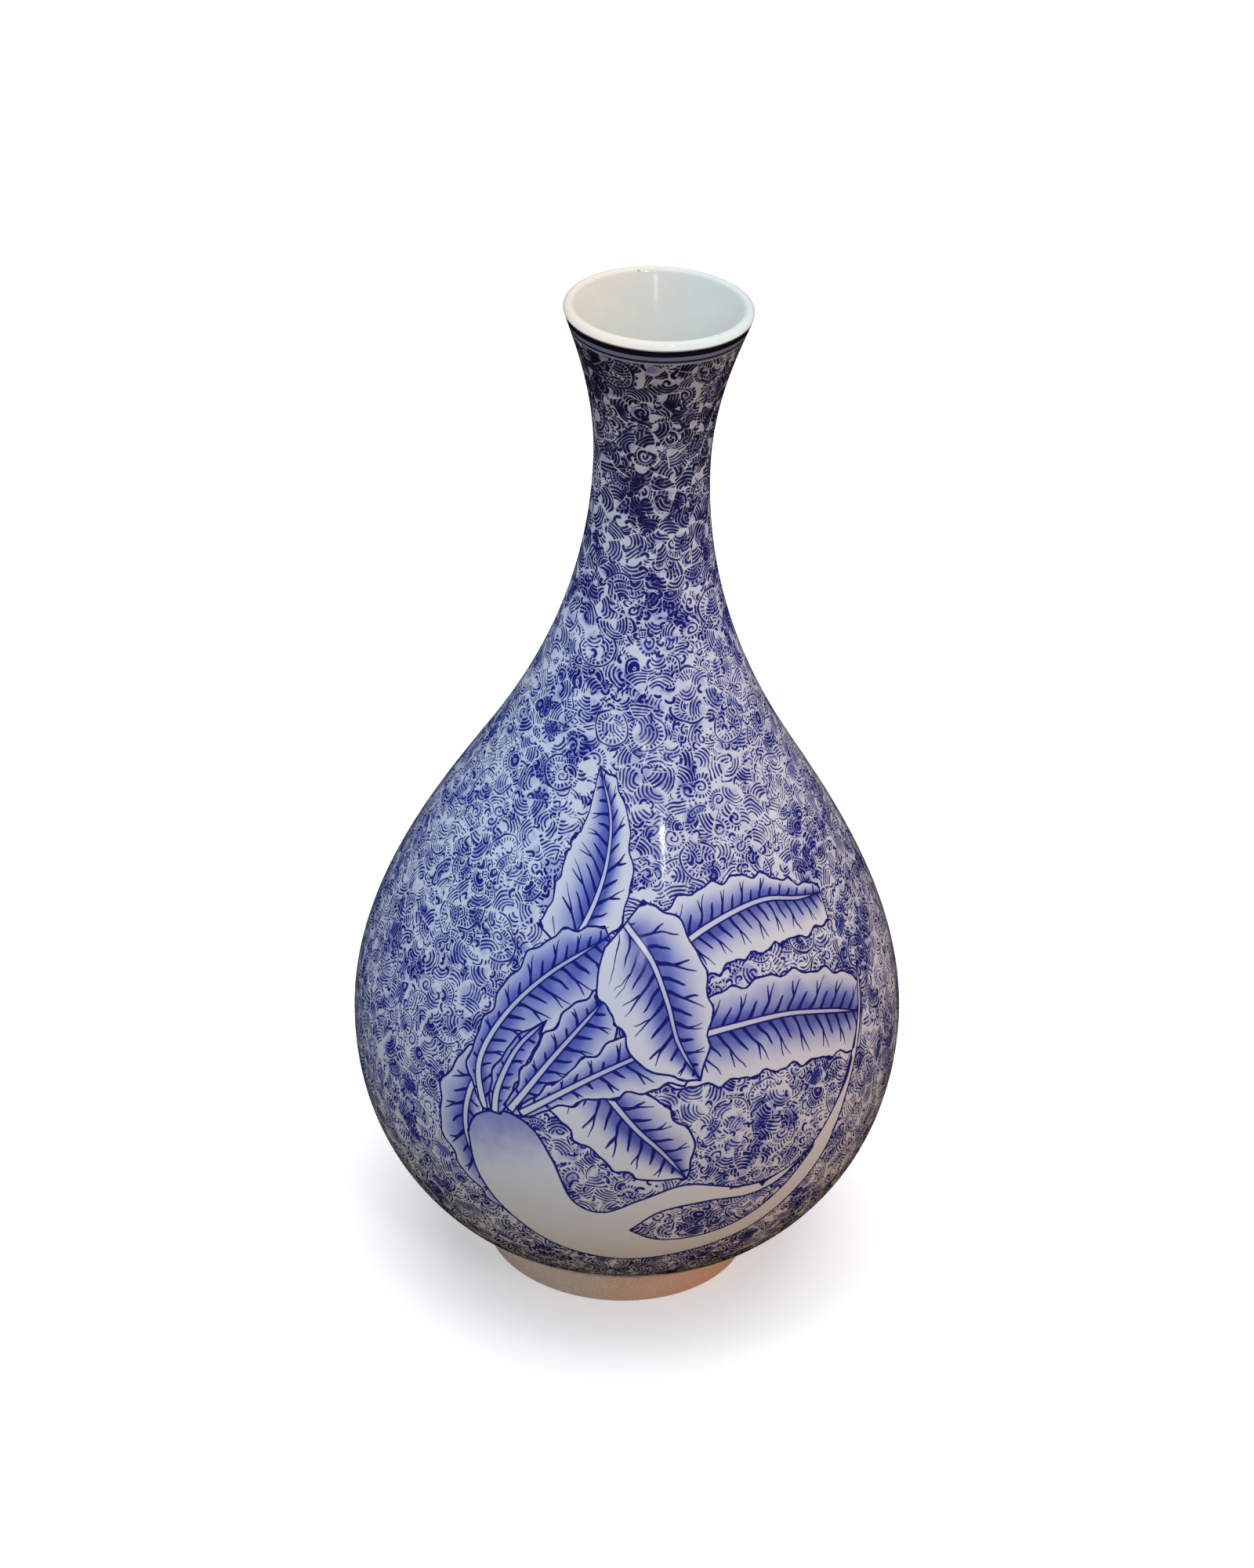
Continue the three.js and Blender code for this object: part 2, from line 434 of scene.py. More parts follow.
WINDOW_SHAPE = {
    "rib": ((4, 51.8), (24, 54.5), (55, 69.5)),
    "upper": ((4, 51.8), (12, 59), (25, 61.2), (36, 60.4), (46, 63), (55, 69.5)),
    "lower": ((4, 51.8), (12, 47.6), (24, 47.8), (36, 51.8), (46, 59.4), (55, 69.5)),
}
LEAVES_BEFORE = {
    "leaf_bent": {
        "rib": ((-37, 84), (-40.5, 97), (-35, 112), (-24, 125), (-7, 136.5)),
        "left": (0.6, 3.5, 4.2, 6.4, 8.5, 7.6, 3),
        "right": (4.5, 8, 10, 12, 13.5, 13.5, 9),
    },
    "leaf_bud": {
        "rib": ((-34, 84), (-33.8, 92), (-29.8, 104), (-22.5, 113)),
        "left": (1.2, 2.6, 3.0, 2.4, 1.6, 0),
        "right": (2.2, 4.2, 5.4, 5.2, 3.2, 0),
    },
    "leaf_narrow": {
        "rib": ((-30, 86), (-21, 101), (-14, 111), (-6, 121)),
        "left": (2, 3.2, 4.8, 5.6, 6, 5.5, 3.5),
        "right": (3, 4.5, 7, 9, 10, 9.5, 6),
    },
    "leaf_low_middle": {
        "rib": ((-27, 86), (-16, 94.5), (-6, 101), (4, 106), (14, 110)),
        "left": (2, 3, 4, 5.5, 6.5, 6.5, 6),
        "right": (1.5, 2.8, 4.5, 7, 9, 10.5, 12),
    },
    "leaf_hanging": {
        "rib": ((-2, 140), (7, 131), (12, 120), (15, 109), (21, 98.5)),
        "left": (8, 12.5, 14.5, 14, 12, 8.5, 0),
        "right": (10, 19.5, 19, 16.5, 14.5, 9, 0),
    },
}
# How far the wash goes from the rib on its left and on its right, as a share of the way to the margin.
WASH_REACH = {
    "leaf_folded": (0.90, 1.15),
    "leaf_upright": (0.98, 0.74),
    "leaf_upper_right": (0.98, 0.84),
    "leaf_right": (1.12, 0.92),
    "leaf_lower": (1.00, 0.72),
    "leaf_bent": (1.35, 1.05),
    "leaf_bud": (1.3, 1.3),
    "leaf_narrow": (1.15, 1.15),
    "leaf_low_middle": (1.05, 1.00),
    "leaf_hanging": (1.00, 0.74),
}
# Places where the printed strokes give out beside the upright leaf: across, up and half the width.
CLEARINGS = (
    (-27.5, 178, 1.8), (-28.6, 172.6, 1.6), (-30, 168, 1.4), (-30, 163.5, 1.0), (3, 148.2, 1.7),
    (6.5, 147, 1.4),
)
WAVE_LENGTH = 10.5  # mm between the ripples of a leaf's margin
WAVE_HEIGHT = 0.9
SHORTEST_STEP = 0.15  # mm between two corners of a margin


def curve_through(points, step=1.0):
    """A smooth line through points, in even steps."""
    points = np.asarray(points, float)
    ends = np.vstack((2 * points[0] - points[1], points, 2 * points[-1] - points[-2]))
    share = np.linspace(0, 1, 40, endpoint=False)[:, None]
    runs = []
    for a, b, c, d in zip(ends, ends[1:], ends[2:], ends[3:]):
        bend, twist = 2 * a - 5 * b + 4 * c - d, 3 * b - a - 3 * c + d
        runs.append(0.5 * (2 * b + (c - a) * share + bend * share**2 + twist * share**3))
    dense = np.vstack((*runs, points[-1:]))
    reached = np.r_[0, np.cumsum(np.hypot(*np.diff(dense, axis=0).T))]
    even = np.linspace(0, reached[-1], max(3, round(reached[-1] / step) + 1))
    return np.column_stack([np.interp(even, reached, column) for column in dense.T])


def painted_shape(shape, ripple=0.0):
    """The rib and the closed outline of one painted shape."""
    rib = curve_through(shape["rib"])
    if "upper" in shape:
        upper, lower = curve_through(shape["upper"]), curve_through(shape["lower"])
        return rib, np.vstack((lower, upper[-2:0:-1]))
    way = np.gradient(rib, axis=0)
    way /= np.linalg.norm(way, axis=1, keepdims=True)
    leftward = np.column_stack((-way[:, 1], way[:, 0]))
    share = np.linspace(0, 1, len(rib))
    margins = []
    for side, key in ((1, "left"), (-1, "right")):
        widths = np.column_stack((np.linspace(0, 1, len(shape[key])), shape[key]))
        smooth = curve_through(widths, 0.01)
        width = np.interp(share, smooth[:, 0], smooth[:, 1]).clip(0)
        turn = np.arange(len(rib)) * 2 * math.pi / WAVE_LENGTH + side
        wave = ripple * (0.75 * np.sin(turn) + 0.45 * np.sin(1.7 * turn + 1)) * np.minimum(1, width / 5)
        margins.append(rib + side * leftward * (width + wave * (share < 0.97))[:, None])
    ring = np.vstack((margins[0], margins[1][::-1]))
    gaps = np.hypot(*(ring - np.roll(ring, 1, axis=0)).T)
    return rib, ring[gaps > SHORTEST_STEP]


def inside(points, ring):
    """Which points lie inside a closed outline."""
    winding = np.zeros(len(points), int)
    for (ax, ay), (bx, by) in zip(ring, np.roll(ring, -1, axis=0)):
        turn = (bx - ax) * (points[:, 1] - ay) - (by - ay) * (points[:, 0] - ax)
        winding += ((ay <= points[:, 1]) & (by > points[:, 1]) & (turn > 0)).astype(int)
        winding -= ((ay > points[:, 1]) & (by <= points[:, 1]) & (turn < 0)).astype(int)
    return winding != 0


def beside(points, line):
    """How far points are from a line, how far along it, and on which side: 1 is left of it."""
    starts, steps = line[:-1], np.diff(line, axis=0)
    lengths = np.hypot(*steps.T)
    away = points[:, None] - starts
    share = ((away * steps).sum(2) / lengths**2).clip(0, 1)
    gap = np.hypot(*(away - share[..., None] * steps).transpose(2, 0, 1))
    best = gap.argmin(1)
    row = np.arange(len(points))
    side = steps[best, 0] * away[row, best, 1] - steps[best, 1] * away[row, best, 0]
    along = np.r_[0, np.cumsum(lengths)][best] + share[row, best] * lengths[best]
    return gap[row, best], along, np.where(side < 0, -1.0, 1.0)


@functools.cache
def cut_front():
    """Cuts the front of the bottle along every outline of the picture.

    Gives the flat corners, and for each shape its faces, rib and outline; "ground" is what no shape covers.
    """
    shapes = {name: painted_shape(shape, WAVE_HEIGHT) for name, shape in LEAVES_BEHIND.items()}
    shapes["root_painted"] = painted_shape(ROOT_SHAPE)
    shapes["window"] = painted_shape(WINDOW_SHAPE)
    shapes.update({name: painted_shape(shape, WAVE_HEIGHT) for name, shape in LEAVES_BEFORE.items()})
    lines = [line for rib, ring in shapes.values() for line in (rib, np.vstack((ring, ring[:1])))]
    half = outline().widest * math.pi / 2
    rows = rows_between(0, outline().end - RIM_BAND)
    net, _ = grid(-half, half, HALF_TURN_COLUMNS, rows)
    inner = (abs(net[:, 0]) < half - 1e-6) & (net[:, 1] > 1e-6) & (net[:, 1] < rows[-1] - 1e-6)
    drawn = np.vstack(lines)
    crowded = np.zeros(len(net), bool)
    for start in range(0, len(drawn), 200):
        part = drawn[start : start + 200]
        crowded |= (np.hypot(*(net[:, None] - part).transpose(2, 0, 1)) < CLEAR_OF_LINES).any(1)
    edge = np.column_stack((net[~inner], np.arctan2(net[~inner, 1] - rows[-1] / 2, net[~inner, 0])))
    edge = edge[edge[:, 2].argsort()][:, :2]
    points, sides = [edge], [(at, (at + 1) % len(edge)) for at in range(len(edge))]
    total = len(edge)
    for line in lines:
        sides += [(total + at, total + at + 1) for at in range(len(line) - 1)]
        points.append(line)
        total += len(line)
    points.append(net[inner & ~crowded])
    corners = [Vector(p) for p in np.vstack(points)]
    found, _, faces, *_ = delaunay_2d_cdt(corners, sides, [], 0, MERGED)
    flat = np.array([tuple(v) for v in found])
    faces = np.array(faces)
    middles = flat[faces].mean(1)
    label = np.full(len(faces), "ground", dtype=object)
    for name, (_, ring) in shapes.items():
        label[inside(middles, ring)] = "ground" if name == "window" else name
    return flat, {name: faces[label == name] for name in set(label)}, shapes


def cut_piece(name):
    """The flat corners and faces of one shape of the picture, with only the corners it uses."""
    flat, faces, _ = cut_front()
    used, renumbered = np.unique(faces[name], return_inverse=True)
    return flat[used], [tuple(int(i) for i in face) for face in renumbered.reshape(-1, 3)]


def painted_skin(name):
    """The skin of one painted shape, which knows how far each corner is along and across its rib.

    It also knows how far each corner is from its margin, and how far the wash goes on that side of the rib.
    """
    flat, faces = cut_piece(name)
    rib, ring = cut_front()[2][name]
    gap, run, side = beside(flat, rib)
    margin, _, _ = beside(flat, np.vstack((ring, ring[:1])))
    if name == "root_painted":
        window = cut_front()[2]["window"][1]
        margin = np.minimum(margin, beside(flat, np.vstack((window, window[:1])))[0])
    whole = np.hypot(*np.diff(rib, axis=0).T).sum()
    left_reach, right_reach = WASH_REACH.get(name, (1, 1))
    reach = np.where(side > 0, left_reach, right_reach)
    return skin(
        name, flat, faces, rib_run=run, rib_share=run / whole, across=gap * side, margin=margin, reach=reach
    )


# ---- finishes -----------------------------------------------------------------------------------

# Painted shade, by the share of the height: whites turn darker and warmer towards the foot and the mouth.
PAINTED_SHADE_BY_HEIGHT = (
    (0.03, "#96806a"), (0.10, "#bda487"), (0.18, "#d2c0aa"), (0.27, "#e2d8cf"), (0.36, "#f0ebe9"),
    (0.50, "#ffffff"), (0.70, "#fdfdff"), (0.84, "#e2d9d2"), (0.98, "#a89a8c"),
)

# All in mm, apart from angles in radians, chances and shares.
WAVER = 2.4  # how widely the hand wavers, which puts a stroke half a millimetre or so off
STROKE_BLEED, LINE_BLEED, VEIN_BLEED = 0.11, 0.10, 0.12  # half the soft edge of each kind of stroke
QUARTER_TURN = math.pi / 2

# The small motifs: most are fans, and combs and curls come from these chances on. Their border stays open.
COMBS_FROM, CURLS_FROM, OPEN_BORDER = 0.56, 0.84, 0.16
FAN_MIDDLE, FAN_HALF_ANGLE, FAN_HEART = (0.6, 2.4, 0), 1.1, 1.5
COMB_PITCH, COMB_TICK, COMB_TICK_ANGLE = 1.15, 0.55, 0.125  # the pitch is a share of the fan's
CURL_PITCH, CURL_RADIUS = 0.65, 2.0
RAY_RADIUS, RAY_REACH, RAY_ANGLE = 2.75, 0.5, 0.16
HOOK_SHARE, HOOK_RADIUS, HOOK_HALF_ANGLE = 0.62, 0.85, 1.5  # the share is of a small motif
HOOK_EXTRA, HOOK_CLEARING = 0.12, 0.50

# The great motifs: none below this chance, then rings, then wide fans.
NO_GREAT_MOTIF, WIDE_FANS_FROM = 0.12, 0.50
RING_RADIUS, RING_MIDDLE, RING_HALF_WIDTH = 4.6, 4.0, 1.0
RING_TICK_RADIUS, RING_TICK, RING_TICK_ANGLE = 3.55, 0.45, 0.13
WIDE_FAN_MIDDLE, WIDE_FAN_HEART, WIDE_FAN_RADIUS = (0, 2.9, 0), 2.4, 6.1

# Side veins, as shares of the way from the rib to the margin, and how far they lean.
VEIN_SLANT, LONG_VEIN, SHORT_VEIN = 0.72, 0.78, 0.46
FORK, FORK_END, FORK_TURN = 0.40, 0.74, 0.55


def glazed(put, shade, roughness=0.10):
    """The shine of a clear glaze over a colour: glassy, IOR 1.5, faintly uneven because it was dipped."""
    ripple = put("TexNoise", {"Vector": put("TexCoord", out="Object"), "Scale": 170.0, "Detail": 1.0})
    uneven = put("Bump", {"Strength": 0.03, "Distance": 0.0012, "Height": ripple})
    shine = {"Roughness": roughness, "IOR": 1.5, "Specular IOR Level": 0.42}
    return put("BsdfPrincipled", {"Base Color": shade, "Normal": uneven, **shine})


def with_painted_light(put, shade):
    """A colour with painted shade towards the foot and the mouth, and painted cool light left, warm light
    right.
    """
    across, _, height = put("SeparateXYZ", (put("TexCoord", out="Object"),)).node.outputs
    # Painted shade: darker and warmer towards the foot and the mouth.
    share = put("MapRange", {"Value": height, "From Min": CAD_LOW.z, "From Max": CAD_HIGH.z})
    ramp = put("ValToRGB", (share,))
    elements = ramp.node.color_ramp.elements
    for at, (position, code) in enumerate(PAINTED_SHADE_BY_HEIGHT):
        stop = elements[at] if at < 2 else elements.new(position)
        stop.position, stop.color = position, rgba(linear(code))
    shade = put("Mix.RGBA", (1.0, shade, ramp), blend_type="MULTIPLY")
    # Painted light: cooler on the left, warmer on the right.
    side = put("MapRange.SMOOTHSTEP", {"Value": across, "From Min": -0.05, "From Max": 0.07})
    side = put("Mix.RGBA", (side, rgba(linear("#eefaff")), rgba(linear("#fff6ec"))))
    return put("Mix.RGBA", (1.0, shade, side), blend_type="MULTIPLY")


def shaded_ink(put):
    """Cobalt with painted shade: nearly black towards the mouth, the foot and the right."""
    shades = bpy.context.scene.bottle_colours
    across, _, height = put("SeparateXYZ", (put("TexCoord", out="Object"),)).node.outputs
    # Painted shade: the cobalt darkens towards the mouth, the foot and the right.
    near_mouth = put("MapRange.SMOOTHSTEP", (height, 0.170, 0.262, 0.0, 0.95))
    near_foot = put("MapRange.SMOOTHSTEP", (height, 0.075, 0.014, 0.0, 0.92))
    on_right = put("MapRange.SMOOTHSTEP", (across, 0.02, 0.07, 0.0, 0.50))
    shade_amount = put("Math.MAXIMUM", (put("Math.MAXIMUM", (near_mouth, near_foot)), on_right))
    return put("Mix.RGBA", (shade_amount, rgba(shades.ink), rgba(shades.dark_ink_and_shade)))


def motif_frame(put, spot, size):
    """Where each place lies in the turned frame of its nearest motif, in mm, and two chances for that motif.

    The motifs are scattered through space, so they keep one size on the belly and on the slim neck alike.
    """
    outward = put("NewGeometry", out="Normal")
    east = put("VectorMath.NORMALIZE", (put("VectorMath.CROSS_PRODUCT", ((0, 0, 1), spot)),))
    north = put("VectorMath.CROSS_PRODUCT", (outward, east))
    middle = put("TexVoronoi", {"Vector": spot, "Scale": 1 / size}, out="Position")
    away = put("VectorMath.SUBTRACT", (spot, middle))
    flat = put("CombineXYZ", tuple(put("VectorMath.DOT_PRODUCT", (away, way)) for way in (east, north)))
    chances = put("SeparateColor", (middle.node.outputs["Color"],)).node.outputs
    spin = put("Math.MULTIPLY", (chances[0], 2 * math.pi))
    turned_place = put("VectorRotate", {"Vector": flat, "Angle": spin}, rotation_type="Z_AXIS")
    return turned_place, chances[1], chances[2]


def polar(put, spot):
    """Distance from the middle of a motif, and the angle round it."""
    x, y, _ = put("SeparateXYZ", (spot,)).node.outputs
    return put("VectorMath.LENGTH", (spot,)), put("Math.ARCTAN2", (y, x))


def beyond(put, value, limit, steep=8.0):
    """Nothing up to a limit, then a steep rise: it ends a stroke there."""
    over = put("Math.MAXIMUM", (put("Math.SUBTRACT", (value, limit)), 0.0))
    return put("Math.MULTIPLY", (over, steep))


def off(put, value, middle):
    """How far a value is from a middle one."""
    return put("Math.ABSOLUTE", (put("Math.SUBTRACT", (value, middle)),))


def fan_and_comb(put, local, pitch):
    """Two motifs of arcs about a point beside the middle: close arcs, and wide ones with ticks between."""
    radius, angle = polar(put, put("VectorMath.ADD", (local, FAN_MIDDLE)))
    arcs = put("Math.PINGPONG", (radius, pitch / 2))
    fan = put("Math.ADD", (arcs, beyond(put, off(put, angle, QUARTER_TURN), FAN_HALF_ANGLE, 1.4)))
    heart = put("Math.SUBTRACT", (FAN_HEART, radius))
    fan = put("Math.ADD", (fan, beyond(put, heart, 0.0, 2.5)))

    ticks = put("Math.MULTIPLY", (put("Math.PINGPONG", (angle, COMB_TICK_ANGLE)), radius))
    wide_arcs = put("Math.PINGPONG", (radius, COMB_PITCH * pitch))
    tick_row = beyond(put, off(put, wide_arcs, COMB_PITCH * pitch), COMB_TICK)
    return fan, put("Math.MINIMUM", (wide_arcs, put("Math.ADD", (ticks, tick_row))))


def curl_with_rays(put, local):
    """A loose spiral that ends in a round dot, with a ring of short rays outside it."""
    radius, angle = polar(put, local)
    unwound = put("Math.MULTIPLY_ADD", (angle, -2 * CURL_PITCH / (2 * math.pi), radius))
    curl = put("Math.PINGPONG", (unwound, CURL_PITCH))
    rays = put("Math.MULTIPLY", (put("Math.PINGPONG", (angle, RAY_ANGLE)), radius))
    rays = put("Math.ADD", (rays, beyond(put, off(put, radius, RAY_RADIUS), RAY_REACH)))
    curl = put("Math.ADD", (curl, beyond(put, radius, CURL_RADIUS)))
    return put("Math.MINIMUM", (curl, rays))


def hooks_over(put, gap, spot, size, pooled):
    """Short thick commas over the rest, each in a thin clearing of its own, closest in the pools of ink."""
    local, chance, _ = motif_frame(put, spot, HOOK_SHARE * size)
    radius, angle = polar(put, local)
    hook = off(put, radius, HOOK_RADIUS)
    hook = put("Math.ADD", (hook, beyond(put, put("Math.ABSOLUTE", (angle,)), HOOK_HALF_ANGLE, 1.0)))
    hook = put("Math.SUBTRACT", (hook, HOOK_EXTRA))
    hooked = put("Math.LESS_THAN", (hook, HOOK_CLEARING))
    rarity = put("MapRange", (pooled, 0.0, 1.0, 0.52, 0.05))
    hooked = put("Math.MULTIPLY", (hooked, put("Math.GREATER_THAN", (chance, rarity))))
    return put("Mix", (hooked, gap, hook))


def great_motifs_over(put, gap, spot, size, pitch):
    """Motifs twice as large over the rest: part of a wide ring ticked on its inside, or a wide fan."""
    local, kind, second = motif_frame(put, spot, 2.0 * size)
    radius, angle = polar(put, local)
    ticks = put("Math.MULTIPLY", (put("Math.PINGPONG", (angle, RING_TICK_ANGLE)), radius))
    ticks = put("Math.ADD", (ticks, beyond(put, off(put, radius, RING_TICK_RADIUS), RING_TICK)))
    ring = put("Math.MINIMUM", (off(put, radius, RING_RADIUS), ticks))
    in_ring = put("Math.COMPARE", (radius, RING_MIDDLE, RING_HALF_WIDTH))
    turn_end = put("MapRange", (second, 0.0, 1.0, -1.2, 2.6))
    in_ring = put("Math.MULTIPLY", (in_ring, put("Math.LESS_THAN", (angle, turn_end))))

    radius, angle = polar(put, put("VectorMath.ADD", (local, WIDE_FAN_MIDDLE)))
    wide = put("Math.PINGPONG", (radius, pitch / 2))
    heart = put("Math.SUBTRACT", (WIDE_FAN_HEART, radius))
    wide = put("Math.ADD", (wide, beyond(put, heart, 0.0, 2.5)))
    sideways = put("Math.MULTIPLY", (off(put, angle, QUARTER_TURN), radius))
    half_width = put("MapRange", (radius, 0.0, 6.0, 0.3, 3.2))
    past = put("Math.SUBTRACT", (sideways, half_width))
    wide = put("Math.ADD", (wide, beyond(put, past, -0.35, 3.0)))
    near = put("Math.LESS_THAN", (radius, WIDE_FAN_RADIUS))
    in_wide = put("Math.MULTIPLY", (put("Math.LESS_THAN", (sideways, half_width)), near))

    is_wide = put("Math.GREATER_THAN", (kind, WIDE_FANS_FROM))
    over = put("Mix", (is_wide, in_ring, in_wide))
    over = put("Math.MULTIPLY", (over, put("Math.GREATER_THAN", (kind, NO_GREAT_MOTIF))))
    return put("Mix", (over, gap, put("Mix", (is_wide, ring, wide))))


def cleared_places(put, spot, swell):
    """How far the strokes give out, from 0 to 1, in the few ragged clearings."""
    places, _ = outline().wrap(np.array(CLEARINGS)[:, :2])
    away = 9.0
    for middle, (_, _, half_width) in zip(places, CLEARINGS):
        gone = put("VectorMath.DISTANCE", (spot, tuple(middle)), out="Value")
        away = put("Math.MINIMUM", (put("Math.DIVIDE", (gone, half_width)), away))
    away = put("Math.MULTIPLY_ADD", (swell, 2.4, away))
    return put("MapRange.SMOOTHSTEP", (away, 2.7, 1.7, 0.0, 1.0))


def printed_ground(put):
    """Cobalt arabesque under clear glaze, printed from a cut paper: fans, combs, curls and hooks.

    The eye reads crisp navy strokes with a soft bleed, on porcelain with blue washes, pools and bare gaps.
    """
    sizes, shades = bpy.context.scene.bottle_paint, bpy.context.scene.bottle_colours
    pitch, stroke, size = sizes.pitch / MM, sizes.stroke / MM, sizes.motif / MM
    object_place = put("TexCoord", out="Object")
    even = put("VectorMath.SCALE", {"Vector": object_place, "Scale": 1 / MM})

    # The hand wavers, in waves 6 mm long.
    waver = put("TexNoise", {"Vector": object_place, "Scale": 170.0, "Detail": 1.0}, out="Color")
    waver = put("VectorMath.SUBTRACT", (waver, (0.5, 0.5, 0.5)))
    spot = put("VectorMath.MULTIPLY_ADD", (waver, (WAVER, WAVER, WAVER), even))
    local, kind, second = motif_frame(put, spot, size)
    border = put("TexVoronoi", {"Vector": spot, "Scale": 1 / size}, feature="DISTANCE_TO_EDGE")
    border = put("Math.MULTIPLY", (border, size))

    # Each small motif is a fan, a comb or a curl. The gap is the distance to the nearest stroke, in mm.
    gap, comb = fan_and_comb(put, local, pitch)
    for threshold, motif in ((COMBS_FROM, comb), (CURLS_FROM, curl_with_rays(put, local))):
        chosen = put("Math.GREATER_THAN", (kind, threshold))
        gap = put("Mix", (chosen, gap, motif))
    open_border = put("Math.SUBTRACT", (OPEN_BORDER, border))
    gap = put("Math.ADD", (gap, beyond(put, open_border, 0.0, 2.5)))

    # Pools of ink 10 mm or so across, and bare places between them.
    pools = put("TexNoise", {"Vector": object_place, "Scale": 95.0, "Detail": 3.0, "Roughness": 0.65})
    pooled = put("MapRange.SMOOTHSTEP", (pools, 0.52, 0.64, 0.0, 1.0))
    bare = put("MapRange.SMOOTHSTEP", (pools, 0.45, 0.36, 0.0, 1.0))
    swell = put("TexNoise", {"Vector": object_place, "Scale": 420.0, "Detail": 1.0})
    gap = hooks_over(put, gap, spot, size, pooled)
    gap = great_motifs_over(put, gap, spot, size, pitch)
    cleared = cleared_places(put, spot, swell)
    gap = put("Math.MULTIPLY_ADD", (cleared, 0.5, gap))

    # Strokes swell and thin, and are heavier on the slim neck and under the belly, where paper creases; this
    # also paints shade there.
    height = put("SeparateXYZ", (object_place,), out="Z")
    # Painted shade: heavier strokes darken the neck and the underside of the belly.
    on_neck = put("MapRange.SMOOTHSTEP", (height, 0.160, 0.262, 0.0, 0.15))
    on_foot = put("MapRange.SMOOTHSTEP", (height, 0.060, 0.020, 0.0, 0.10))
    half = put("MapRange", (swell, 0.3, 0.7, stroke * 0.36, stroke * 0.68))
    half = put("Math.ADD", (half, put("Math.ADD", (on_neck, on_foot))))
    half = put("Math.MULTIPLY_ADD", (pooled, stroke * 0.24, half))
    half = put("Math.MULTIPLY_ADD", (bare, -stroke * 0.12, half))
    bleed = put("Math.SUBTRACT", (gap, half))
    inked = put("MapRange.SMOOTHSTEP", (bleed, STROKE_BLEED, -STROKE_BLEED, 0.0, 1.0))

    # Wash fades in from the borders of some motifs, lies under the pools and creeps out from the strokes.
    filled = put("MapRange", (second, 0.0, 1.0, 0.06, 0.58))
    inner = put("MapRange.SMOOTHSTEP", (border, 0.15, 1.5, 0.0, 1.0))
    creeping = put("MapRange.SMOOTHSTEP", (bleed, 0.36, 0.0, 0.0, 0.18))
    washed = put("Math.MULTIPLY_ADD", (filled, inner, creeping))
    washed = put("Math.ADD", (washed, put("Math.MULTIPLY_ADD", (pooled, 0.38, 0.05))))
    missing = put("Math.MULTIPLY_ADD", (bare, 0.35, cleared))
    washed = put("Math.SUBTRACT", (washed, missing), use_clamp=True)

    shade = put("Mix.RGBA", (washed, rgba(shades.porcelain), rgba(shades.wash)))
    thin = put("MapRange", (pools, 0.54, 0.36, 0.0, 0.20))
    ink = put("Mix.RGBA", (thin, shaded_ink(put), rgba(shades.wash)))
    shade = put("Mix.RGBA", (inked, shade, ink))
    return glazed(put, with_painted_light(put, shade))


def side_veins(put, run, on_left, away, total, spread, hand, brush, step):
    """How far the side veins ink the leaf, from 0 to 1.

    They lean to the tip and the two sides are a quarter of a step apart; every other one is long and forks.
    """
    phase = put("Math.MULTIPLY_ADD", (away, -VEIN_SLANT, run))
    phase = put("Math.MULTIPLY_ADD", (on_left, step / 4, phase))
    phase = put("Math.MULTIPLY_ADD", (hand, WAVER, phase))
    veins = put("Math.PINGPONG", (phase, step / 2))
    veins = put("Math.ADD", (veins, beyond(put, spread, LONG_VEIN, 6.0)))
    short = put("Math.PINGPONG", (put("Math.ADD", (phase, step / 2)), step / 2))
    short = put("Math.ADD", (short, beyond(put, spread, SHORT_VEIN, 6.0)))
    veins = put("Math.MINIMUM", (veins, short))

    past = put("Math.MAXIMUM", (put("Math.MULTIPLY_ADD", (total, -FORK, away)), 0.0))
    branch = put("Math.MULTIPLY_ADD", (past, FORK_TURN, phase))
    branch = put("Math.PINGPONG", (branch, step / 2))
    before = put("Math.MULTIPLY", (put("Math.LESS_THAN", (spread, FORK)), 9.0))
    ends = put("Math.ADD", (beyond(put, spread, FORK_END, 6.0), before))
    branch = put("Math.ADD", (branch, ends))
    veins = put("Math.MINIMUM", (veins, branch))

    half = put("MapRange", (spread, 0.0, 0.45, 0.78, 0.38))
    half = put("Math.ADD", (beyond(put, spread, 0.45, -0.70), half))
    half = put("Math.MULTIPLY_ADD", (put("Math.SUBTRACT", (brush, 0.5)), 0.16, half))
    bleed = put("Math.SUBTRACT", (veins, half))
    return put("MapRange.SMOOTHSTEP", (bleed, VEIN_BLEED, -VEIN_BLEED, 0.0, 1.0))


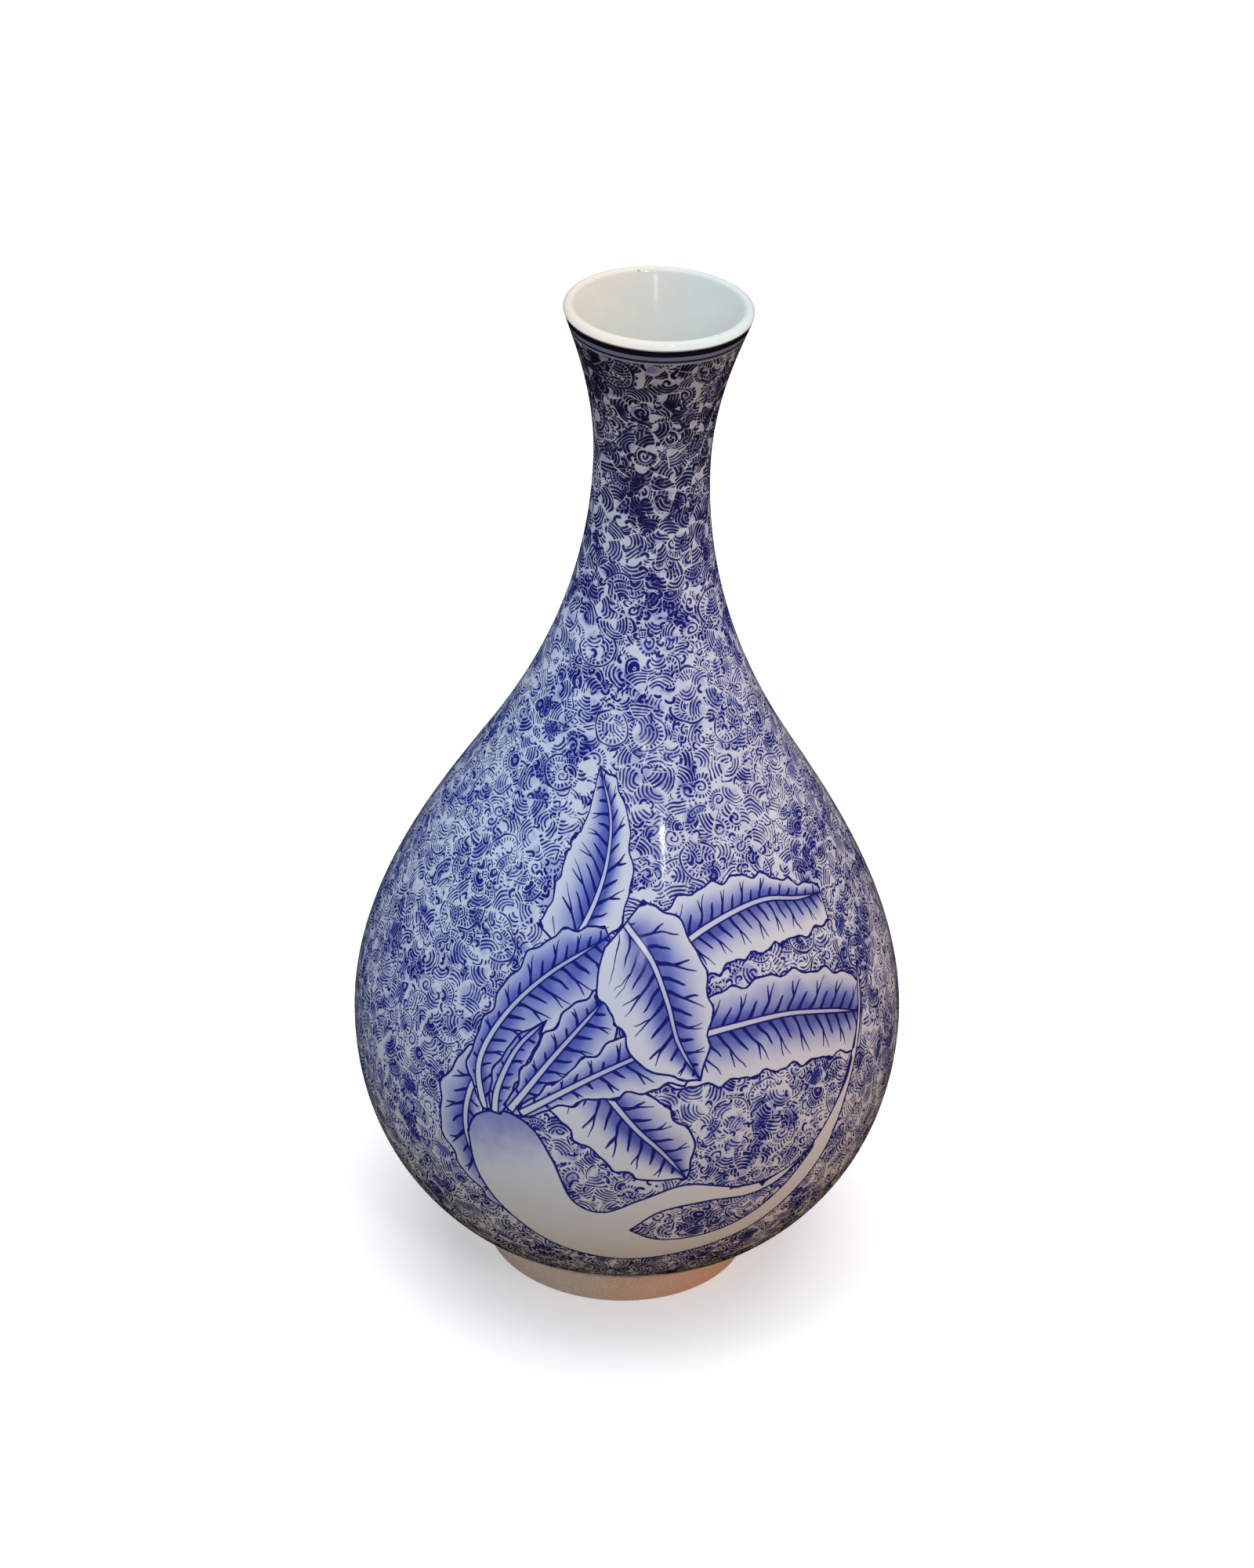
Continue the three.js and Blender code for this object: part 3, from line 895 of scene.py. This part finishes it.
def painted_leaf(put):
    """A leaf brushed in cobalt under clear glaze: a brush line, forked veins and a wash from the midrib out.

    The eye reads a white midrib between two dark lines, deep blue beside it and a bare, rippled margin.
    """
    sizes, shades = bpy.context.scene.bottle_paint, bpy.context.scene.bottle_colours
    step, line, midrib = sizes.vein_step / MM, sizes.outline / MM, sizes.midrib / MM
    run, share, across, edge, reach = (
        put("Attribute", out="Fac", attribute_name=name)
        for name in ("rib_run", "rib_share", "across", "margin", "reach")
    )
    object_place = put("TexCoord", out="Object")
    hand = put("TexNoise", {"Vector": object_place, "Scale": 160.0, "Detail": 1.0})
    brush = put("TexNoise", {"Vector": object_place, "Scale": 420.0, "Detail": 2.0})
    away = put("Math.ABSOLUTE", (across,))
    total = put("Math.ADD", (away, edge))
    spread = put("Math.DIVIDE", (away, put("Math.MAXIMUM", (total, 0.3))))
    on_left = put("Math.GREATER_THAN", (across, 0.0))
    veined = side_veins(put, run, on_left, away, total, spread, hand, brush, step)

    # The midrib stays bare between two lines and ends in a point; the brush line follows the margin.
    rib_half = put("MapRange", (share, 0.0, 0.80, midrib / 2, midrib / 4))
    rib_half = put("Math.MINIMUM", (rib_half, put("MapRange", (share, 0.72, 1.0, 0.8, -0.3))))
    rib_gap = put("Math.SUBTRACT", (away, rib_half))
    rib_bare = put("MapRange.SMOOTHSTEP", (rib_gap, LINE_BLEED, -LINE_BLEED, 0.0, 1.0))
    rib_line = put("MapRange.SMOOTHSTEP", (off(put, rib_gap, 0.22), 0.34, 0.14, 0.0, 1.0))
    margin_half = put("Math.MULTIPLY_ADD", (put("Math.SUBTRACT", (brush, 0.5)), 0.18, line))
    margin_gap = put("Math.SUBTRACT", (edge, margin_half))
    margin = put("MapRange.SMOOTHSTEP", (margin_gap, LINE_BLEED, -LINE_BLEED, 0.0, 1.0))

    # Two coats of wash: a thin one as far as it reaches, and a deep one close to the rib.
    start = put("Math.MULTIPLY", (reach, 0.15))
    wash = put("MapRange.SMOOTHSTEP", (spread, start, reach, 1.0, 0.0))
    cloud = put("MapRange", (hand, 0.3, 0.7, 0.80, 1.20))
    wash = put("Math.MULTIPLY", (wash, cloud), use_clamp=True)
    shade = put("Mix.RGBA", (wash, rgba(shades.porcelain), rgba(shades.leaf_wash)))
    ink = shaded_ink(put)
    deep = put("MapRange.SMOOTHSTEP", (spread, 0.0, 0.46, 0.54, 0.0))
    shade = put("Mix.RGBA", (put("Math.MULTIPLY", (deep, cloud), use_clamp=True), shade, ink))

    shade = put("Mix.RGBA", (veined, shade, ink))
    tinted = put("MapRange", (share, 0.1, 0.9, 0.05, 0.50))
    pale = put("Mix.RGBA", (tinted, rgba(shades.porcelain), rgba(shades.leaf_wash)))
    shade = put("Mix.RGBA", (rib_bare, shade, pale))
    shade = put("Mix.RGBA", (put("Math.MAXIMUM", (rib_line, margin)), shade, ink))
    return glazed(put, with_painted_light(put, shade))


def painted_root(put):
    """The radish's root under clear glaze: bare porcelain in a cobalt brush line, washed at its crown."""
    sizes, shades = bpy.context.scene.bottle_paint, bpy.context.scene.bottle_colours
    run, edge = (put("Attribute", out="Fac", attribute_name=name) for name in ("rib_run", "margin"))
    object_place = put("TexCoord", out="Object")
    brush = put("TexNoise", {"Vector": object_place, "Scale": 300.0, "Detail": 2.0})
    crown = put("Math.MULTIPLY_ADD", (put("Math.SUBTRACT", (brush, 0.5)), 7.0, run))
    wash = put("MapRange.SMOOTHSTEP", (crown, 0.0, 20.0, 0.78, 0.0))
    line = put("Math.MULTIPLY_ADD", (put("Math.SUBTRACT", (brush, 0.5)), 0.3, sizes.outline / MM))
    gap = put("Math.SUBTRACT", (edge, line))
    margin = put("MapRange.SMOOTHSTEP", (gap, LINE_BLEED, -LINE_BLEED, 0.0, 1.0))
    shade = put("Mix.RGBA", (wash, rgba(shades.porcelain), rgba(shades.wash)))
    shade = put("Mix.RGBA", (margin, shade, shaded_ink(put)))
    return glazed(put, with_painted_light(put, shade))


def banded_rim(put):
    """The mouth's edge, banded on the wheel under clear glaze.

    The eye reads white porcelain with a dark cobalt line, a washed band below it and a thin line.
    """
    shades = bpy.context.scene.bottle_colours
    object_place = put("TexCoord", out="Object")
    height = put("SeparateXYZ", (object_place,), out="Z")
    brush = put("TexNoise", {"Vector": object_place, "Scale": 120.0, "Detail": 2.0})
    rising = put("Math.MULTIPLY", (height, 1 / MM))
    rising = put("Math.MULTIPLY_ADD", (put("Math.SUBTRACT", (brush, 0.5)), 0.25, rising))
    shade = rgba(shades.lip)
    # Each line: mm of outline below the lip, half its width in mm, how strong it is, and its colour.
    lines = ((2.9, 1.7, 0.70, shades.wash), (3.9, 0.32, 0.95, shades.dark_ink_and_shade), (1.35, 0.90, 1.0, shades.dark_ink_and_shade))
    for below, half, strength, tint in lines:
        level = float(outline().at(outline().end - below)[1])
        band = put("MapRange.SMOOTHSTEP", (off(put, rising, level), half + 0.12, half - 0.12, 0.0, strength))
        shade = put("Mix.RGBA", (band, shade, rgba(tint)))
    return glazed(put, with_painted_light(put, shade), 0.12)


def white_glaze(put):
    """Clear glaze over white porcelain, poured in and swilled round.

    The eye reads a plain white surface with a few iron specks, warmer towards the left.
    """
    shades = bpy.context.scene.bottle_colours
    object_place = put("TexCoord", out="Object")
    side = put("SeparateXYZ", (object_place,), out="X")
    cloud = put("TexNoise", {"Vector": object_place, "Scale": 60.0, "Detail": 2.0})
    leaning_left = put("Math.MULTIPLY_ADD", (put("Math.SUBTRACT", (cloud, 0.5)), 0.03, side))
    # Warmer towards the left.
    warm = put("MapRange.SMOOTHSTEP", (leaning_left, 0.014, -0.018, 0.0, 1.0))
    shade = put("Mix.RGBA", (warm, rgba(shades.lip), rgba(shades.lip_warm)))
    speck = put("TexVoronoi", {"Vector": object_place, "Scale": 200.0}, out="Distance")
    rare = put("SeparateColor", (speck.node.outputs["Color"],))
    rare = put("Math.GREATER_THAN", (rare, 0.86))
    dot = put("MapRange.SMOOTHSTEP", (speck, 0.09, 0.04, 0.0, 0.55))
    shade = put("Mix.RGBA", (put("Math.MULTIPLY", (dot, rare)), shade, rgba(linear("#7d6a55"))))
    return glazed(put, shade)


def bare_foot(put):
    """Unglazed porcelain, turned on the wheel and rubbed smooth, orange on its right from kiln flush and
    painted warm light.

    The eye reads a dry, finely speckled surface with faint turning lines, brown where the glaze stops.
    """
    shades = bpy.context.scene.bottle_colours
    object_place = put("TexCoord", out="Object")
    side, _, height = put("SeparateXYZ", (object_place,)).node.outputs
    cloud = put("TexNoise", {"Vector": object_place, "Scale": 45.0, "Detail": 3.0})
    # Kiln flush and painted warm light: orange towards the right.
    lean = put("Math.MULTIPLY_ADD", (put("Math.SUBTRACT", (cloud, 0.5)), 0.05, side))
    flush_and_warm_light = put("MapRange.SMOOTHSTEP", (lean, -0.02, 0.03, 0.0, 1.0))
    shade = put("Mix.RGBA", (flush_and_warm_light, rgba(shades.foot), rgba(shades.foot_flush_and_warm_light)))
    grain = put("TexNoise", {"Vector": object_place, "Scale": 1500.0, "Detail": 2.0})
    grainy = put("MapRange", (grain, 0.3, 0.7, 0.86, 1.08))
    shade = put("Mix.RGBA", (1.0, shade, grainy), blend_type="MULTIPLY")
    top = bpy.context.scene.bottle_sizes.foot_height
    seam = put("MapRange.SMOOTHSTEP", (height, top - 0.0012, top - 0.0004, 0.0, 0.75))
    shade = put("Mix.RGBA", (seam, shade, rgba(linear("#6b4a38"))))
    rings = put("TexNoise", {"W": put("Math.MULTIPLY", (height, 2200.0))}, noise_dimensions="1D")
    texture = put("Math.MULTIPLY_ADD", (rings, 0.5, grain))
    rough = put("Bump", {"Strength": 0.35, "Distance": 0.0002, "Height": texture})
    return put(
        "BsdfPrincipled",
        {"Base Color": shade, "Roughness": 0.82, "IOR": 1.5, "Specular IOR Level": 0.3, "Normal": rough},
    )


def biscuit_wall(put):
    """Porcelain clay thrown on the wheel and fired once: chalky white with throwing lines."""
    object_place = put("TexCoord", out="Object")
    height = put("SeparateXYZ", (object_place,), out="Z")
    lines = put("TexNoise", {"W": put("Math.MULTIPLY", (height, 700.0))}, noise_dimensions="1D")
    cloud = put("TexNoise", {"Vector": object_place, "Scale": 90.0, "Detail": 3.0})
    shade = put("Mix.RGBA", (cloud, rgba(linear("#e9e5dc")), rgba(linear("#ddd7cc"))))
    ridged = put("Bump", {"Strength": 0.4, "Distance": 0.0004, "Height": lines})
    return put("BsdfPrincipled", {"Base Color": shade, "Roughness": 0.8, "IOR": 1.5, "Normal": ridged})


def painted_board(put):
    """Translucent board painted matt and lit a little from below: pale and plain, with a soft shadow."""
    floor = rgba(bpy.context.scene.bottle_studio.floor)
    cloud = put("TexNoise", {"Vector": put("TexCoord", out="Object"), "Scale": 3.0})
    shade = put("Mix.RGBA", (cloud, floor, rgba(linear("#f4f4f4"))))
    lit = {"Emission Color": floor, "Emission Strength": FLOOR_GLOW}
    return put("BsdfPrincipled", {"Base Color": shade, "Roughness": 0.9, "Specular IOR Level": 0.0, **lit})


# ---- operators ----------------------------------------------------------------------------------


def clay_lip(radius):
    """Points over the lip from outside to inside: a half round about the middle of the wall."""
    form = outline()
    middle = form.below(form.end, form.glaze + form.lip_radius)[0]
    _, _, out, up = form.at(form.end)
    start = math.atan2(up, out)
    angles = start + np.linspace(0, math.pi, 17)[1:-1]
    return middle + radius * np.column_stack((np.cos(angles), np.sin(angles)))


def inner_floor(edge):
    """Points over the dished inner floor, from the axis outwards but without its edge."""
    low = outline().floor
    radii = np.linspace(0, edge[0], 12)[:-1]
    return np.column_stack((radii, low + (edge[1] - low) * (radii / edge[0]) ** 2))


class BOTTLE_OT_foot(Operator):
    """Turns the bare foot ring"""

    bl_idname = "bottle.foot"
    bl_label = "Foot Ring"

    def execute(self, context):
        form = outline()
        chamfer, outer, inner = FOOT_CHAMFER, form.foot_radius, form.ring_inside
        top = form.below(0.0, form.glaze)[0]
        section = [
            (inner + chamfer, 0), (outer - chamfer, 0), (outer - 0.25, 0.25), (outer, chamfer), tuple(top),
            (inner, form.recess), (inner, BARE_INSIDE_FOOT), (inner, chamfer), (inner + 0.25, 0.25),
        ]
        bare = finish_of("Unglazed porcelain, turned and toasted", bare_foot)
        place(turned("foot_ring_turned", section, 30), bare, "bare_porcelain_foot", "foot_ring")
        return {"FINISHED"}


class BOTTLE_OT_walls(Operator):
    """Throws the clay wall: the lower body with its base, the upper body and the neck"""

    bl_idname = "bottle.walls"
    bl_label = "Clay Walls"

    def execute(self, context):
        form = outline()
        clay = finish_of("Biscuit porcelain, thrown", biscuit_wall)

        def walls(low, high):
            runs = rows_between(low, high)
            return form.below(runs, form.glaze), form.below(runs, form.glaze, 1)[::-1]

        outside, inside_up = walls(0, form.belly)
        floor = inner_floor(inside_up[-1])[::-1]
        base = [(0, form.recess), (form.ring_inside, form.recess)]
        mesh = turned("lower_body_thrown", [*base, *outside, *inside_up, *floor])
        place(mesh, clay, "porcelain_body", "lower_body")
        outside, inside_up = walls(form.belly, form.neck_joint)
        mesh = turned("upper_body_thrown", [*outside, *inside_up])
        place(mesh, clay, "porcelain_body", "upper_body")
        outside, inside_up = walls(form.neck_joint, form.end)
        mesh = turned("neck_thrown", [*outside, *clay_lip(form.lip_radius), *inside_up])
        place(mesh, clay, "porcelain_body", "neck")
        return {"FINISHED"}


class BOTTLE_OT_plain_glaze(Operator):
    """Glazes the inside up over the lip, and the recess under the base"""

    bl_idname = "bottle.plain_glaze"
    bl_label = "Plain Glaze"

    def execute(self, context):
        form = outline()
        white = finish_of("Clear glaze on white porcelain, poured", white_glaze)
        runs = rows_between(0, form.end)
        clay, surface = form.below(runs, form.glaze, 1), form.below(runs, 2 * form.glaze, 1)
        floor = inner_floor(clay[0])
        joint = [form.below(form.end, form.glaze)[0], form.below(form.end, 0)[0]]
        lip = clay_lip(form.lip_radius + form.glaze)
        section = [
            *floor, *clay, *clay_lip(form.lip_radius)[::-1], *joint, *lip, *surface[::-1],
            *(floor[::-1] + (0, form.glaze)),
        ]
        place(turned("inner_glaze_poured", section, 50), white, "white_glaze", "inner_glaze")
        inner, skin_radius, under = form.ring_inside, form.ring_inside - form.glaze, form.recess - form.glaze
        section = [
            (0, under), (skin_radius - 1.2, under), (skin_radius - 0.4, under - 0.3),
            (skin_radius, under - 1.1), (skin_radius, BARE_INSIDE_FOOT), (inner, BARE_INSIDE_FOOT),
            (inner, form.recess), (0, form.recess),
        ]
        place(turned("base_glaze_poured", section, 50), white, "white_glaze", "base_glaze")
        return {"FINISHED"}


class BOTTLE_OT_ground(Operator):
    """Prints the arabesque ground on the front, round the picture, and on the back"""

    bl_idname = "bottle.ground"
    bl_label = "Printed Ground"

    def execute(self, context):
        form = outline()
        printed = finish_of("Clear glaze on cobalt arabesque, printed", printed_ground)
        front = skin("ground_front", *cut_piece("ground"))
        place(front, printed, "blue_and_white_glaze", "outer_glaze")
        half = form.widest * math.pi / 2
        rows = rows_between(0, form.end - RIM_BAND)
        back = skin("ground_back", *grid(half, 3 * half, HALF_TURN_COLUMNS, rows))
        place(back, printed, "blue_and_white_glaze", "outer_glaze")
        return {"FINISHED"}


class BOTTLE_OT_rim(Operator):
    """Bands the rim with its dark line, washed band and thin line"""

    bl_idname = "bottle.rim"
    bl_label = "Banded Rim"

    def execute(self, context):
        form = outline()
        banded = finish_of("Clear glaze on cobalt lines, banded on the wheel", banded_rim)
        runs = rows_between(form.end - RIM_BAND, form.end, 0.5)
        section = [*form.below(runs, 0), *form.below(runs, form.glaze)[::-1]]
        place(turned("rim_banded", section), banded, "blue_and_white_glaze", "outer_glaze")
        return {"FINISHED"}


class BOTTLE_OT_leaves(Operator):
    """Paints the radish's leaves"""

    bl_idname = "bottle.leaves"
    bl_label = "Painted Leaves"

    def execute(self, context):
        brushed = finish_of("Clear glaze on cobalt leaves, brushed", painted_leaf)
        for name in (*LEAVES_BEHIND, *LEAVES_BEFORE):
            place(painted_skin(name), brushed, "blue_and_white_glaze", "outer_glaze")
        return {"FINISHED"}


class BOTTLE_OT_root(Operator):
    """Paints the radish's forked root"""

    bl_idname = "bottle.root"
    bl_label = "Painted Root"

    def execute(self, context):
        brushed = finish_of("Clear glaze on a cobalt outline, brushed", painted_root)
        place(painted_skin("root_painted"), brushed, "blue_and_white_glaze", "outer_glaze")
        return {"FINISHED"}


class BOTTLE_OT_stage(Operator):
    """Sets the pale floor, the soft lamps and the camera"""

    bl_idname = "bottle.stage"
    bl_label = "Floor, Lamps and Camera"

    def execute(self, context):
        scene = context.scene
        mesh = bpy.data.meshes.new("floor")
        corners = [(FLOOR_REACH * x, FLOOR_REACH * y, 0) for x, y in ((-1, -1), (1, -1), (1, 1), (-1, 1))]
        mesh.from_pydata(corners, [], [(0, 1, 2, 3)])
        mesh.materials.append(finish_of("Board, painted matt", painted_board))
        floor = bpy.data.objects.new("floor", mesh)
        floor.visible_glossy = False
        scene.collection.objects.link(floor)

        world = bpy.data.worlds.new("studio")
        world.use_nodes = True
        sky = world.node_tree.nodes["Background"].inputs
        sky["Color"].default_value = rgba(linear("#f2f4f8"))
        sky["Strength"].default_value = WORLD_GLOW
        world.cycles_visibility.glossy = False
        scene.world = world

        # Name, power, place, what it points at, width, height, colour, and whether it shows in the glaze.
        lamps = (
            ("ceiling", scene.bottle_studio.lamp, (0.0, 0.2, 2.3), (0, 0, 0), 2.8, 2.8, "#ffffff", False),
            ("window", 11.0, (0.35, -1.7, 1.9), (0, 0, 0.18), 1.4, 1.4, "#eef2ff", False),
            ("streak", 2.6, (0.52, -1.45, 1.25), (0, 0, 0.16), 0.07, 0.28, "#ffffff", True),
            ("pane", 0.28, (0.16, -1.55, 0.80), (0, 0, 0.26), 0.14, 0.10, "#ffffff", True),
            ("skylight", 1.5, (-0.15, -0.5, 2.0), (0, 0, 0.26), 0.35, 0.2, "#ffffff", True),
            ("left_sheen", 0.8, (-1.8, -0.5, 1.0), (0, 0, 0.15), 0.7, 1.2, "#cfdcff", True),
            ("right_sheen", 1.6, (1.8, 0.5, 1.0), (0, 0, 0.15), 0.7, 1.2, "#fff0e0", True),
            ("right_fill", 6.4, (1.8, -0.45, 0.35), (0, 0, 0.08), 0.9, 0.9, "#ffc090", False),
            ("left_fill", 2.3, (-1.5, -1.0, 0.8), (0, 0, 0.12), 0.9, 0.9, "#98dcff", False),
        )
        for name, power, at, target, width, height, tint, shown in lamps:
            lamp = bpy.data.lights.new(name, "AREA")
            lamp.shape, lamp.size, lamp.size_y = "RECTANGLE", width, height
            lamp.energy, lamp.color = power, linear(tint)
            holder = bpy.data.objects.new(name, lamp)
            holder.location = at
            holder.rotation_euler = (Vector(target) - Vector(at)).to_track_quat("-Z", "Y").to_euler()
            holder.visible_glossy = shown
            scene.collection.objects.link(holder)

        camera = bpy.data.objects.new("camera", bpy.data.cameras.new("camera"))
        camera.data.lens, camera.data.sensor_width = CAMERA_LENS, CAMERA_SENSOR
        camera.data.sensor_fit = "AUTO"
        camera.location = CAMERA_PLACE
        aim = (Vector(CAMERA_AIM) - camera.location).to_track_quat("-Z", "Y")
        camera.rotation_mode = "QUATERNION"
        camera.rotation_quaternion = aim @ Quaternion((0, 0, 1), math.radians(CAMERA_ROLL))
        scene.collection.objects.link(camera)
        scene.camera = camera
        scene.view_settings.view_transform = "Standard"
        return {"FINISHED"}


# ---- panel --------------------------------------------------------------------------------------


class BOTTLE_PT_panel(Panel):
    """Lists what the bottle is made of and what may be changed"""

    bl_idname = "BOTTLE_PT_panel"
    bl_label = "Sake Bottle"
    bl_space_type = "VIEW_3D"
    bl_region_type = "UI"
    bl_category = "Bottle"

    def draw(self, context):
        for operator in OPERATORS:
            self.layout.operator(operator.bl_idname)
        for owner in PROPERTIES:
            box = self.layout.box()
            settings = getattr(context.scene, owner)
            for name in type(settings).__annotations__:
                box.prop(settings, name)


OPERATORS = (
    BOTTLE_OT_foot, BOTTLE_OT_walls, BOTTLE_OT_plain_glaze, BOTTLE_OT_rim,
    BOTTLE_OT_ground, BOTTLE_OT_root, BOTTLE_OT_leaves, BOTTLE_OT_stage,
)
PROPERTIES = {
    "bottle_sizes": BottleSizes,
    "bottle_paint": PaintSizes,
    "bottle_colours": BottleColours,
    "bottle_studio": StudioSettings,
}


def register():
    for kind in (*PROPERTIES.values(), *OPERATORS, BOTTLE_PT_panel):
        bpy.utils.register_class(kind)
    for name, group in PROPERTIES.items():
        setattr(bpy.types.Scene, name, PointerProperty(type=group))


def unregister():
    for name in PROPERTIES:
        delattr(bpy.types.Scene, name)
    for kind in reversed((*PROPERTIES.values(), *OPERATORS, BOTTLE_PT_panel)):
        bpy.utils.unregister_class(kind)


def main():
    register()
    for operator in OPERATORS:
        group, name = operator.bl_idname.split(".")
        getattr(getattr(bpy.ops, group), name)()


if __name__ == "__main__":
    main()
